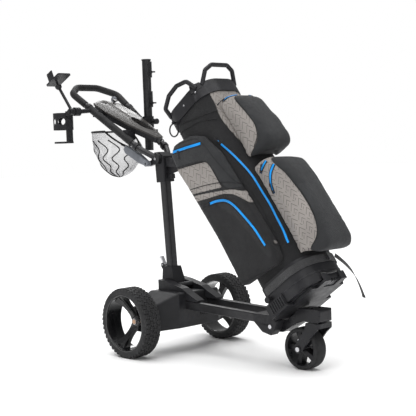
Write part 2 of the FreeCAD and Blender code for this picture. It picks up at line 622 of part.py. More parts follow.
def cup_holder():
    floor, foot, top = CUP_Z
    x, y = CUP_AT.x, CUP_AT.y

    def disc(z0, z1, radius):
        return Part.makeCylinder(radius, z1 - z0, Vector(x, y, z0))
    ring = disc(foot, top, CUP_R).cut(disc(foot - 1, top + 1, CUP_R - CUP_WALL))
    holes = []
    for i in range(5):
        angle = math.radians(-136 + 60 * (i - 1.5))
        out = Vector(math.cos(angle) * 80, math.sin(angle) * 80, 0)
        middle = Vector(x, y, (foot + top) / 2)
        holes.append(rod(middle + out * 0.3, middle + out, 16))
    strut = box(x + CUP_R - 4, x + CUP_R + 3, y - 16, y + 16, floor, top)
    strut = cut(strut, [disc(floor + 8, top + 1, CUP_R - CUP_WALL)])
    base = disc(floor, floor + 8, CUP_R - 2).cut(disc(floor - 1, floor + 9, CUP_R - 22))
    base = fuse([base, box(x + CUP_R - 12, x + CUP_R, y - 16, y + 16, floor, floor + 8)])
    eye = y_rod(KNUCKLE.x, KNUCKLE.z, -243, -232, 14)
    link = box(x + CUP_R - 1, KNUCKLE.x, -243, -232, top - 16, top + 6)
    holder = fuse([cut(ring, holes), strut, base, eye, link])
    bore = y_rod(KNUCKLE.x, KNUCKLE.z, -260, -180, 5 + FIT)
    inner = disc(floor + 8, top + 9, CUP_R - CUP_WALL)
    NODES["cup_holder"] = cut(holder, [bore, inner])


# ---- golf bag -----------------------------------------------------------------------------
BODY_HALF = (138.0, 118.0)
BODY_CORNER = 90.0
BODY_Z = (62.0, 835.0)
BOOT_Z = (-48.0, 62.0)
SKIN = 5.0


def bag_section(grow, z0, z1):
    return rounded_prism(BODY_HALF[0] + grow, BODY_HALF[1] + grow, BODY_CORNER + grow, z0, z1)


def bag_outline_prism(points, y0, y1, edge):
    block = side_prism(points, y0, y1)
    return round_edges(block, edge, None)


def bag_shell():
    NODES["bag_body"] = in_bag(bag_section(0, *BODY_Z).cut(bag_section(-SKIN, 0, 900)))
    boot = bag_section(3, *BOOT_Z).cut(bag_section(-SKIN, BOOT_Z[0] + 6, 100))
    feet = bag_section(-12, BOOT_Z[0] - 3.5, BOOT_Z[0] + 1)
    NODES["bag_base"] = in_bag(boot.fuse(feet))
    collar = bag_section(5, BODY_Z[1], BAG_LENGTH).cut(bag_section(-7, 800, 1000))
    x, z = RING_PIN
    ring_pin = fuse([y_rod(x, z, -134, -118, 3), y_rod(x, z, -137, -134, 6)])
    NODES["bag_collar"] = in_bag(collar.fuse(ring_pin))
    half_x, half_y = BODY_HALF[0] - 7, BODY_HALF[1] - 7
    bars = [box(-half_x, half_x, -4 + y, 4 + y, 856, 880) for y in (-37, 37)]
    bars += [box(-4 + x, 4 + x, -half_y, half_y, 856, 880) for x in (-66, 0, 66)]
    divider = fuse(bars).common(bag_section(-7, 800, 1000))
    NODES["bag_divider"] = in_bag(divider)


def bag_handles():
    collar = bag_section(5, BODY_Z[1] - 5, BAG_LENGTH).cut(bag_section(-7, 800, 1000))
    front = bent_rod([(112, -92, 884), (150, -76, 930), (165, -44, 946), (165, 44, 946),
                      (150, 76, 930), (112, 92, 884)], 14, 9)
    NODES["front_handle"] = in_bag(largest(front.cut(collar)))
    side = bent_rod([(92, -110, 884), (82, -132, 926), (36, -143, 940), (-24, -143, 938),
                     (-82, -134, 916), (-100, -104, 884)], 16, 9)
    NODES["side_handle"] = in_bag(largest(side.cut(collar)))


def bag_pockets():
    body = bag_section(0, -100, 900)
    collar = bag_section(5, BODY_Z[1], BAG_LENGTH)
    boot = bag_section(3 + 6, BOOT_Z[0], BOOT_Z[1] - 8)
    upper = bag_outline_prism([(96, 786), (168, 782), (216, 738), (250, 610), (256, 524),
                               (236, 492), (96, 500)], -88, 88, 22)
    NODES["upper_pocket"] = in_bag(cut(upper, [body, collar]))
    lower = bag_outline_prism([(90, 482), (178, 470), (246, 420), (264, 330), (272, 110),
                               (266, 48), (236, 20), (184, 30), (150, 60), (90, 64)], -92, 92, 13)
    rim = bag_section(3, *BOOT_Z)
    NODES["lower_pocket"] = in_bag(cut(lower, [body, boot, rim]))
    side = bag_outline_prism([(-152, 98), (76, 68), (96, 150), (74, 590), (34, 700), (-18, 742),
                              (-118, 766), (-160, 742), (-174, 660), (-152, 330)], -158, -70, 16)
    front_room = box(60, 300, -94, 94, 0, 900)
    back_room = box(-300, -90, -106.5, 106.5, 0, 900)
    side = cut(side, [body, front_room, back_room])
    NODES["side_pocket_right"] = in_bag(side)
    NODES["side_pocket_left"] = in_bag(side.mirror(Vector(0, 0, 0), Y_AXIS))


RING_PIN = (-80.0, 844.0)             # above the collar's lower edge
RING_R = 26.0


def towel_ring():
    lean = math.radians(BAG_LEAN)
    x, z = RING_PIN
    centre = Vector(x - (RING_R + 4) * math.sin(lean), -130, z - (RING_R + 4) * math.cos(lean))
    ring = Part.makeTorus(RING_R, 3, centre, Y_AXIS)
    eye = y_rod(x, z, -133.5, -126.5, 5.5)
    bore = y_rod(x, z, -150, -100, 3 + FIT)
    NODES["towel_ring"] = in_bag(cut(fuse([ring, eye]), [bore]))


ZIP_FACE_Y = -158.0
ZIP_ENDS = ((-104.0, 716.0), (22.0, 660.0))


def zip_slider():
    (x0, z0), (x1, z1) = ZIP_ENDS
    angle = math.degrees(math.atan2(z0 - z1, x1 - x0))
    body = box(-6, 6, -6, -GAP, -5, 5)
    puller = box(-5, 3, -8, -6, -30, 3)
    slider = tilted(fuse([body, puller]), Vector(x0, ZIP_FACE_Y, z0), angle)
    NODES["zip_slider"] = in_bag(slider)


STRAP_Z = (20.0, 50.0)


def base_strap():
    band = bag_section(3 + 5, *STRAP_Z).cut(bag_section(3 + 1.5, 0, 100))
    band = band.common(box(-84, 300, -300, 300, 0, 100))
    buckle = box(-30, 30, -4, 4, -17, 17)
    buckle = round_edges(buckle, 2.5, lambda e: abs(e.tangentAt(e.FirstParameter).y) < 0.1)
    buckle.rotate(Vector(0, 0, 0), Vector(0, 0, 1), -70)
    buckle.translate(Vector(146, 40, 35))
    buckle = buckle.cut(bag_section(3 + 1.5, 0, 100))
    strap = in_bag(largest(band.fuse(buckle)))
    NODES["base_strap"] = strap.cut(NODES["lower_bag_tray"])


def strap_tail():
    """The loose end of the base strap: flat webbing that curves down from the buckle."""
    route = [bag_point(151, 62, 35), Vector(842, 100, 400), Vector(872, 132, 330),
             Vector(880, 150, 268)]
    wire = rounded_route(route, 60)
    start = wire.Vertexes[0].Point
    along = (route[1] - route[0]).normalize()
    across = bag_point(0, 0, 1) - bag_point(0, 0, 0)
    across = (across - along * across.dot(along)).normalize()
    thick = along.cross(across)
    corners = [start + across * (sa * 10) + thick * (st * 1.5)
               for sa, st in ((-1, -1), (1, -1), (1, 1), (-1, 1))]
    profile = Part.makePolygon(corners + corners[:1])
    NODES["strap_tail"] = wire.makePipeShell([profile], True, False)


# ---- build and export ---------------------------------------------------------------------
def build():
    rear_wheel(-1, "right", 0)
    rear_wheel(1, "left", 45)
    drive_unit()
    frame_rails()
    front_bracket()
    mast()
    upper_bag_bracket()
    lower_bag_tray()
    front_leg()
    front_fork()
    front_wheel()
    handle_frame()
    lock_lever()
    console()
    console_mounts()
    speed_dial()
    net_pouch()
    umbrella_holder()
    accessory_bar()
    phone_holder()
    cup_holder()
    bag_shell()
    bag_handles()
    bag_pockets()
    towel_ring()
    zip_slider()
    base_strap()
    strap_tail()


def x_shift():
    """Half way between the rearmost and the foremost point."""
    boxes = [shape.optimalBoundingBox() for shape in NODES.values()]
    return (min(b.XMin for b in boxes) + max(b.XMax for b in boxes)) / 2


def export():
    os.makedirs("parts", exist_ok=True)
    for name, shape in NODES.items():
        placed = shape.copy()
        placed.translate(Vector(-X_SHIFT, 0, 0))
        placed.exportStep("parts/" + name + ".step")


build()
X_SHIFT = round(x_shift(), 3)
export()
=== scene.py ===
import math

import bmesh
import bpy
from mathutils import Matrix, Vector
from mathutils.bvhtree import BVHTree


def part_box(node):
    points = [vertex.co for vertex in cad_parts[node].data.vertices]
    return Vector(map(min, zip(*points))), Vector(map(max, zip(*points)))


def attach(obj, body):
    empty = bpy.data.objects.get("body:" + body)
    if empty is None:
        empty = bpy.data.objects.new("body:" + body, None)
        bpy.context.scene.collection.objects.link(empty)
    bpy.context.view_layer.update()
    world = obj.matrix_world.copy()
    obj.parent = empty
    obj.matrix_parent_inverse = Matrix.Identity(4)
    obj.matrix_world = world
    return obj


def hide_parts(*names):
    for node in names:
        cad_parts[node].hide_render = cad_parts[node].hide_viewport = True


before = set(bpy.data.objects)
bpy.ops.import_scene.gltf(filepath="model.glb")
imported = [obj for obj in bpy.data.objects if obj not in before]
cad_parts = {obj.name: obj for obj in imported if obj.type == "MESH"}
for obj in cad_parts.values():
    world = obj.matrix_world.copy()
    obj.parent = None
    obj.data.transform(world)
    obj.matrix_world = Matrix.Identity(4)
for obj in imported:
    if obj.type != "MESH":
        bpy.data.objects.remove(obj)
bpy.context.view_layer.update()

# Looks of the golf bag on its push cart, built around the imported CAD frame.
# Sizes in the drawing functions are millimetres; MM turns them into metres.
MM = 0.001
TAU = 2 * math.pi

wheel_low, wheel_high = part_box("rear_tyre_right")
AXLE_X = (wheel_low.x + wheel_high.x) / 2


def cart(x, y, z):
    """A point measured from the ground under the rear axle."""
    return Vector((AXLE_X + x * MM, y * MM, z * MM))


BAG_LEAN = 35.6                     # degrees back from upright
BAG_HALF_X, BAG_HALF_Y, BAG_CORNER = 138, 118, 90
BODY_FOOT, BODY_TOP = 62, 835
BAG = Matrix.Translation(cart(714, 0, 317)) @ Matrix.Rotation(math.radians(-BAG_LEAN), 4, "Y")
CONSOLE = Matrix.Translation(cart(-79, 0, 905)) @ Matrix.Rotation(math.radians(24.5), 4, "Y")
CART = Matrix.Translation(cart(0, 0, 0))


# ---- camera, light and floor -------------------------------------------------------------------
def stage_set():
    camera = bpy.data.objects.new("camera", bpy.data.cameras.new("camera"))
    camera.data.lens = 86.54
    camera.data.sensor_width = 36
    camera.data.clip_end = 60
    right = Vector((0.69281, 0.72028, -0.03484))
    up = Vector((-0.01780, 0.06538, 0.99770))
    back = right.cross(up).normalized()
    right = up.cross(back).normalized()
    turn = Matrix((right, up, back)).transposed().to_4x4()
    camera.matrix_world = Matrix.Translation(cart(3180.6, -2850.9, 843.0)) @ turn
    bpy.context.scene.collection.objects.link(camera)
    bpy.context.scene.camera = camera

    world = bpy.data.worlds.new("studio")
    bpy.context.scene.world = world
    world.use_nodes = True
    nodes, links = world.node_tree.nodes, world.node_tree.links
    dim = nodes["Background"]
    dim.inputs["Color"].default_value = (1, 1, 1, 1)
    dim.inputs["Strength"].default_value = 0.34
    seen = nodes.new("ShaderNodeBackground")
    seen.inputs["Strength"].default_value = 1.0
    seen.inputs["Color"].default_value = (1, 1, 1, 1)
    ray = nodes.new("ShaderNodeLightPath")
    choose = nodes.new("ShaderNodeMixShader")
    links.new(ray.outputs["Is Camera Ray"], choose.inputs[0])
    links.new(dim.outputs[0], choose.inputs[1])
    links.new(seen.outputs[0], choose.inputs[2])
    links.new(choose.outputs[0], nodes["World Output"].inputs["Surface"])
    sun = bpy.data.objects.new("top_sun", bpy.data.lights.new("top_sun", "SUN"))
    sun.data.energy = 3.0
    sun.data.angle = math.radians(70)
    bpy.context.scene.collection.objects.link(sun)
    bpy.context.scene.view_settings.view_transform = "Standard"

    def area_light(name, place, target, size, watts):
        lamp = bpy.data.objects.new(name, bpy.data.lights.new(name, "AREA"))
        lamp.data.size = size
        lamp.data.energy = watts
        lamp.location = place
        lamp.rotation_mode = "QUATERNION"
        lamp.rotation_quaternion = (Vector(target) - Vector(place)).to_track_quat("-Z", "Y")
        bpy.context.scene.collection.objects.link(lamp)
    area_light("key_light", (1.2, -2.6, 3.0), (0, 0, 0.6), 1.6, 34)
    area_light("rim_light", (-2.4, 1.6, 2.2), (0, 0, 0.7), 1.2, 30)
    area_light("front_light", (3.2, -0.4, 1.5), (0.3, 0, 0.5), 1.4, 14)

    bpy.ops.mesh.primitive_plane_add(size=60, location=(0, 0, 0))
    floor = bpy.context.object
    floor.name = "floor"
    surface = bpy.data.materials.new("floor")
    surface.use_nodes = True
    shader = surface.node_tree.nodes["Principled BSDF"]
    shader.inputs["Base Color"].default_value = (0.93, 0.93, 0.93, 1)
    shader.inputs["Roughness"].default_value = 0.9
    floor.data.materials.append(surface)


stage_set()


# ---- materials ---------------------------------------------------------------------------------
class Shader:
    """A principled material and short calls that add nodes to it."""

    def __init__(self, name):
        self.material = bpy.data.materials.new(name)
        self.material.use_nodes = True
        self.nodes = self.material.node_tree.nodes
        self.links = self.material.node_tree.links
        self.out = self.nodes["Principled BSDF"]
        self.coords = self.nodes.new("ShaderNodeTexCoord").outputs["Object"]

    def set(self, **values):
        for socket, value in values.items():
            self.out.inputs[socket.replace("_", " ")].default_value = value

    def feed(self, socket, value):
        if isinstance(value, bpy.types.NodeSocket):
            self.links.new(value, socket)
        else:
            socket.default_value = value

    def math(self, kind, a, b=0.0, c=0.0):
        node = self.nodes.new("ShaderNodeMath")
        node.operation = kind
        for socket, value in zip(node.inputs, (a, b, c)):
            self.feed(socket, value)
        return node.outputs[0]

    def noise(self, scale, detail=3.0, stretch=None):
        vector = self.coords
        if stretch:
            spread = self.nodes.new("ShaderNodeMapping")
            spread.inputs["Scale"].default_value = stretch
            self.links.new(vector, spread.inputs["Vector"])
            vector = spread.outputs["Vector"]
        node = self.nodes.new("ShaderNodeTexNoise")
        node.inputs["Scale"].default_value = scale
        node.inputs["Detail"].default_value = detail
        self.links.new(vector, node.inputs["Vector"])
        return node.outputs["Fac"]

    def span(self, value, low, high, to_low=0.0, to_high=1.0):
        node = self.nodes.new("ShaderNodeMapRange")
        self.feed(node.inputs["Value"], value)
        for socket, number in (("From Min", low), ("From Max", high),
                               ("To Min", to_low), ("To Max", to_high)):
            node.inputs[socket].default_value = number
        return node.outputs["Result"]

    def mix(self, share, a, b):
        node = self.nodes.new("ShaderNodeMix")
        node.data_type = "RGBA"
        self.feed(node.inputs[0], share)
        for socket, value in ((node.inputs[6], a), (node.inputs[7], b)):
            self.feed(socket, (*value, 1) if isinstance(value, tuple) else value)
        return node.outputs[2]

    def attribute(self, name):
        node = self.nodes.new("ShaderNodeAttribute")
        node.attribute_name = name
        return node.outputs["Fac"]

    def bump(self, height, distance, strength=1.0):
        node = self.nodes.new("ShaderNodeBump")
        node.inputs["Strength"].default_value = strength
        node.inputs["Distance"].default_value = distance
        self.links.new(height, node.inputs["Height"])
        self.links.new(node.outputs["Normal"], self.out.inputs["Normal"])

    def color(self, value):
        self.feed(self.out.inputs["Base Color"], value)

    def rough(self, value):
        self.feed(self.out.inputs["Roughness"], value)


def tone(color, factor):
    return tuple(min(1.0, channel * factor) for channel in color)


def moulded(name, color, rough, grain=900, grain_deep=0.00012, metallic=0.0, coat=0.0,
            wear=0.5, brushed=None):
    """Plastic, rubber or metal: mottled colour, fine grain, and paler worn edges."""
    s = Shader(name)
    cloud = s.span(s.noise(14, 4), 0.35, 0.65)
    body = s.mix(cloud, tone(color, 0.82), tone(color, 1.18))
    edge = s.nodes.new("ShaderNodeNewGeometry").outputs["Pointiness"]
    worn = s.math("MULTIPLY", s.span(edge, 0.52, 0.60), s.span(s.noise(70, 2), 0.35, 0.7))
    pale = tuple(channel * 1.6 + 0.03 for channel in color)
    s.color(s.mix(s.math("MULTIPLY", worn, wear), body, pale))
    s.rough(s.span(s.noise(38, 3), 0.3, 0.7, rough - 0.06, rough + 0.08))
    shine = 0.5 if metallic else 0.22
    s.set(Metallic=metallic, Coat_Weight=coat, Coat_Roughness=0.08, Specular_IOR_Level=shine)
    grain_height = s.noise(grain, 2, brushed)
    s.bump(grain_height, grain_deep)
    return s.material


def bag_axes(s):
    """The coordinates across (round the bag) and along it, in metres."""
    turn = s.nodes.new("ShaderNodeMapping")
    turn.vector_type = "POINT"
    turn.inputs["Rotation"].default_value = (0, math.radians(BAG_LEAN), 0)
    s.links.new(s.coords, turn.inputs["Vector"])
    parts = s.nodes.new("ShaderNodeSeparateXYZ")
    s.links.new(turn.outputs["Vector"], parts.inputs[0])
    x, y, z = parts.outputs
    return s.math("ADD", x, y), z


BLACK_CLOTH = (0.011, 0.011, 0.012)
HOOD_CLOTH = (0.026, 0.027, 0.029)
PRINT_CLOTH = (0.33, 0.305, 0.285)
PRINT_LINE = (0.055, 0.042, 0.050)
BLUE = (0.0, 0.26, 0.72)


def weave_height(s, across, along, pitch):
    wave_a = s.math("SINE", s.math("MULTIPLY", across, TAU / pitch))
    wave_b = s.math("SINE", s.math("MULTIPLY", along, TAU / pitch))
    return s.math("MULTIPLY", wave_a, wave_b)


def chevron_lines(s, across, along):
    """Thin zigzag lines in staggered rows, a plain generic print."""
    row = s.math("FLOOR", s.math("DIVIDE", along, 0.045))
    shifted = s.math("ADD", across, s.math("MULTIPLY", row, 0.011))
    zig = s.math("PINGPONG", shifted, 0.022)
    height = s.math("ADD", along, s.math("MULTIPLY", zig, 1.25))
    place = s.math("FRACT", s.math("DIVIDE", height, 0.023))
    near = s.math("ABSOLUTE", s.math("SUBTRACT", place, 0.5))
    line = s.span(near, 0.075, 0.03)
    gap = s.math("FRACT", s.math("DIVIDE", shifted, 0.044))
    shown = s.span(s.math("ABSOLUTE", s.math("SUBTRACT", gap, 0.5)), 0.06, 0.1)
    return s.math("MULTIPLY", line, shown)


def bag_cloth(name):
    """Black cloth whose printed, hood and light areas come from signed distances on the mesh."""
    s = Shader(name)
    across, along = bag_axes(s)
    printed = s.span(s.attribute("printed"), -0.0004, 0.0004)
    hood = s.span(s.attribute("hood"), -0.0004, 0.0004)
    gloss = s.span(s.attribute("gloss"), -0.004, 0.004)
    fade = s.span(s.noise(9, 4), 0.3, 0.7)
    black = s.mix(fade, tone(BLACK_CLOTH, 0.8), tone(BLACK_CLOTH, 1.5))
    grey = s.mix(fade, tone(HOOD_CLOTH, 0.85), tone(HOOD_CLOTH, 1.2))
    cloth = s.mix(fade, tone(PRINT_CLOTH, 0.9), tone(PRINT_CLOTH, 1.08))
    cloth = s.mix(chevron_lines(s, across, along), cloth, PRINT_LINE)
    color = s.mix(hood, black, grey)
    color = s.mix(printed, color, cloth)
    seam = s.span(s.math("ABSOLUTE", s.attribute("seam")), 0.0022, 0.0006)
    color = s.mix(seam, color, tone(BLACK_CLOTH, 0.7))
    s.color(color)
    base = s.span(s.noise(60, 3), 0.3, 0.7, 0.52, 0.66)
    s.rough(s.math("SUBTRACT", base, s.math("MULTIPLY", gloss, 0.24)))
    s.set(Sheen_Weight=0.05, Sheen_Roughness=0.5, Specular_IOR_Level=0.22)
    creases = s.math("MULTIPLY", s.noise(16, 4), 9.0)
    height = s.math("ADD", weave_height(s, across, along, 0.0016), creases)
    height = s.math("SUBTRACT", height, s.math("MULTIPLY", seam, 7.0))
    s.bump(height, 0.00035)
    return s.material


def webbing(name, color):
    s = Shader(name)
    across, along = bag_axes(s)
    ribs = s.math("SINE", s.math("MULTIPLY", along, TAU / 0.0022))
    s.color(s.mix(s.span(s.noise(30, 3), 0.3, 0.7), tone(color, 0.8), tone(color, 1.35)))
    s.rough(s.span(s.noise(80, 2), 0.3, 0.7, 0.7, 0.85))
    s.set(Sheen_Weight=0.2, Sheen_Roughness=0.5)
    s.bump(s.math("ADD", ribs, weave_height(s, across, along, 0.0014)), 0.0003)
    return s.material


TYRE = moulded("tyre_rubber", (0.022, 0.022, 0.023), 0.62, grain=420, grain_deep=0.0003)
GLOSS = moulded("gloss_black", (0.010, 0.010, 0.011), 0.20, coat=0.6, wear=0.15,
                grain_deep=0.00003)
PLASTIC = moulded("black_plastic", (0.016, 0.016, 0.018), 0.40, grain=1300)
SATIN = moulded("satin_black", (0.013, 0.013, 0.015), 0.30, grain=1300, wear=0.3)
ANODISED = moulded("black_aluminium", (0.020, 0.020, 0.022), 0.34, metallic=0.35, wear=0.8,
                   grain=300, grain_deep=0.00006, brushed=(1, 1, 0.05))
STEEL = moulded("bright_steel", (0.55, 0.55, 0.57), 0.28, metallic=1.0, wear=0.2,
                grain=260, grain_deep=0.00005, brushed=(1, 0.06, 1))
COPPER = moulded("bolt_copper", (0.42, 0.27, 0.18), 0.35, metallic=0.8, wear=0.2)
FOAM = moulded("grip_foam", (0.017, 0.017, 0.018), 0.66, grain=600, grain_deep=0.0003)
CONSOLE_GREY = moulded("console_grey", (0.040, 0.037, 0.035), 0.36, grain=1500, wear=0.4)
MID_GREY = moulded("mid_grey", (0.16, 0.17, 0.19), 0.38, wear=0.3)
MOTOR = moulded("motor_metal", (0.25, 0.25, 0.26), 0.45, metallic=0.8)
CASE = moulded("battery_case", (0.03, 0.03, 0.034), 0.45)
BASE_GREY = moulded("base_grey", (0.085, 0.085, 0.09), 0.30, coat=0.3, wear=0.3)
TAPE = moulded("zip_tape", (0.012, 0.012, 0.013), 0.6, grain=1800, grain_deep=0.0002)
ZIP = moulded("zip_blue", BLUE, 0.32, coat=0.3, wear=0.15, grain=1500)
CLOTH = bag_cloth("bag_cloth")
WEB = webbing("webbing", (0.020, 0.020, 0.022))
NET = moulded("net_thread", (0.62, 0.62, 0.63), 0.7, wear=0.0)
BINDING = moulded("net_binding", (0.014, 0.014, 0.015), 0.75, grain=1500, wear=0.1)


# ---- mesh helpers ------------------------------------------------------------------------------
def piece(name, verts, faces, body, material, matrix=None, replaces=(), sharp=38):
    """A mesh from points in metres; matrix carries them into the row frame."""
    mesh = bpy.data.meshes.new(name)
    if matrix is not None:
        verts = [matrix @ Vector(v) for v in verts]
    mesh.from_pydata([tuple(v) for v in verts], [], faces)
    tidy_normals(mesh)
    return dress_piece(bpy.data.objects.new(name, mesh), body, material, replaces, sharp)


def tidy_normals(mesh):
    bm = bmesh.new()
    bm.from_mesh(mesh)
    bmesh.ops.recalc_face_normals(bm, faces=bm.faces)
    bm.to_mesh(mesh)
    bm.free()


def dress_piece(obj, body, material, replaces=(), sharp=38):
    if obj.name not in bpy.context.scene.collection.objects:
        bpy.context.scene.collection.objects.link(obj)
    if obj.type == "MESH":
        obj.data.shade_smooth()
        obj.data.set_sharp_from_angle(angle=math.radians(sharp))
    obj.data.materials.clear()
    obj.data.materials.append(material)
    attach(obj, body)
    if replaces:
        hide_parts(*replaces)
    return obj


def soften(obj, width, segments=2):
    """Round the sharp edges of a hard piece."""
    weld = obj.modifiers.new("weld", "WELD")
    weld.merge_threshold = 0.00002
    bevel = obj.modifiers.new("bevel", "BEVEL")
    bevel.width = width * MM
    bevel.segments = segments
    bevel.limit_method = "ANGLE"
    bevel.angle_limit = math.radians(38)
    normals = obj.modifiers.new("normals", "WEIGHTED_NORMAL")
    normals.keep_sharp = True


class Parts:
    """Gathers simple shapes, in millimetres, into one mesh."""

    def __init__(self):
        self.verts, self.faces = [], []

    def add(self, verts, faces):
        start = len(self.verts)
        self.verts += [Vector(v) for v in verts]
        self.faces += [tuple(start + i for i in face) for face in faces]

    def prism(self, low, high, matrix=None):
        """A closed prism between two rings of points."""
        count = len(low)
        verts = [Vector(v) for v in low] + [Vector(v) for v in high]
        if matrix:
            verts = [matrix @ v for v in verts]
        sides = [(i, (i + 1) % count, count + (i + 1) % count, count + i)
                 for i in range(count)]
        self.add(verts, sides + [tuple(range(count))[::-1], tuple(range(count, 2 * count))])

    def block(self, x0, x1, y0, y1, z0, z1, matrix=None):
        low = [(x0, y0, z0), (x1, y0, z0), (x1, y1, z0), (x0, y1, z0)]
        self.prism(low, [(x, y, z1) for x, y, z in low], matrix)

    def round_rod(self, start, end, radius, sides=20, end_radius=None):
        start, end = Vector(start), Vector(end)
        turn = (end - start).to_track_quat("Z", "Y").to_matrix()
        rings = []
        for centre, r in ((start, radius), (end, end_radius or radius)):
            rings.append([centre + turn @ Vector((r * math.cos(TAU * i / sides),
                                                  r * math.sin(TAU * i / sides), 0))
                          for i in range(sides)])
        self.prism(*rings)

    def loft(self, rings, closed=False):
        count = len(rings[0])
        verts = [v for ring in rings for v in ring]
        faces = []
        for r in range(len(rings) - (0 if closed else 1)):
            a, b = r * count, (r + 1) % len(rings) * count
            faces += [(a + i, a + (i + 1) % count, b + (i + 1) % count, b + i)
                      for i in range(count)]
        if not closed:
            last = (len(rings) - 1) * count
            faces += [tuple(range(count))[::-1], tuple(range(last, last + count))]
        self.add(verts, faces)

    def lathe(self, profile, segments, centre=(0, 0, 0)):
        """A closed profile of (y, radius) turned about the Y axis."""
        cx, cy, cz = centre
        rings = [[(cx + r * math.cos(TAU * s / segments), cy + y,
                   cz + r * math.sin(TAU * s / segments)) for y, r in profile]
                 for s in range(segments)]
        self.loft(rings, closed=True)

    def make(self, name, body, material, matrix=CART, bevel=0.0, replaces=(), sharp=38):
        verts = [v * MM for v in self.verts]
        obj = piece(name, verts, self.faces, body, material, matrix, replaces, sharp)
        if bevel:
            soften(obj, bevel)
        return obj


def smooth_path(points, step):
    """A smooth curve through the points, with samples about step apart."""
    points = [Vector(p) for p in points]
    ends = [points[0] * 2 - points[1]] + points + [points[-1] * 2 - points[-2]]
    made = []
    for p0, p1, p2, p3 in zip(ends, ends[1:], ends[2:], ends[3:]):
        count = max(1, round((p2 - p1).length / step))
        for i in range(count):
            t = i / count
            made.append(0.5 * (2 * p1 + (p2 - p0) * t + (2 * p0 - 5 * p1 + 4 * p2 - p3) * t * t
                               + (3 * p1 - p0 - 3 * p2 + p3) * t ** 3))
    return made + [points[-1]]


def tube_rings(path, normals, section):
    """Rings of a section of (sideways, outwards) points carried along a path."""
    rings = []
    for i, (place, up) in enumerate(zip(path, normals)):
        ahead = path[min(i + 1, len(path) - 1)] - path[max(i - 1, 0)]
        side = ahead.cross(up).normalized()
        up = side.cross(ahead).normalized()
        shape = section(i) if callable(section) else section
        rings.append([place + side * a + up * b for a, b in shape])
    return rings


def circle(radius, sides=8):
    return [(radius * math.cos(TAU * i / sides), radius * math.sin(TAU * i / sides))
            for i in range(sides)]


# ---- CAD nodes that keep their shape -----------------------------------------------------------
KEPT = {
    PLASTIC: ["axle_housing", "housing_cover", "mast_socket", "mast_hub", "upper_bag_bracket",
              "lower_bag_tray", "front_bracket", "umbrella_clamp", "accessory_bar",
              "phone_stem", "phone_plate", "phone_jaw", "thumbscrew_lower",
              "thumbscrew_upper", "console_base", "console_mounts", "control_board",
              "bag_divider", "towel_ring", "bag_collar", "front_handle", "side_handle",
              "bag_base", "cup_holder"],
    ANODISED: ["frame_rails", "mast_tube", "handle_arm_left", "handle_arm_right",
               "umbrella_tube", "umbrella_extension"],
    SATIN: ["front_leg", "front_fork", "front_rim"],
    STEEL: ["rear_axle_right", "rear_axle_left", "front_axle", "hinge_pins", "latch_lever"],
    FOAM: ["handle_grip", "arm_sleeves"],
    MID_GREY: ["lock_lever", "speed_dial", "power_button"],
    MOTOR: ["drive_motors"],
    CASE: ["battery_pack"],
    CONSOLE_GREY: ["console_cover"],
    WEB: ["base_strap"],
}
BEVELS = {"axle_housing": 3.0, "housing_cover": 3.0, "mast_socket": 4.0, "mast_hub": 2.5,
          "front_bracket": 3.0, "front_leg": 2.5, "front_fork": 2.5, "lower_bag_tray": 1.2,
          "upper_bag_bracket": 2.0, "bag_collar": 2.2, "bag_base": 2.5, "umbrella_clamp": 2.0,
          "lock_lever": 2.0, "console_cover": 1.5, "phone_plate": 1.2, "cup_holder": 0.8}


def dress_cad_nodes():
    for material, names in KEPT.items():
        for name in names:
            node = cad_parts[name]
            node.data.materials.clear()
            node.data.materials.append(material)
            soften(node, BEVELS.get(name, 0.8))


dress_cad_nodes()


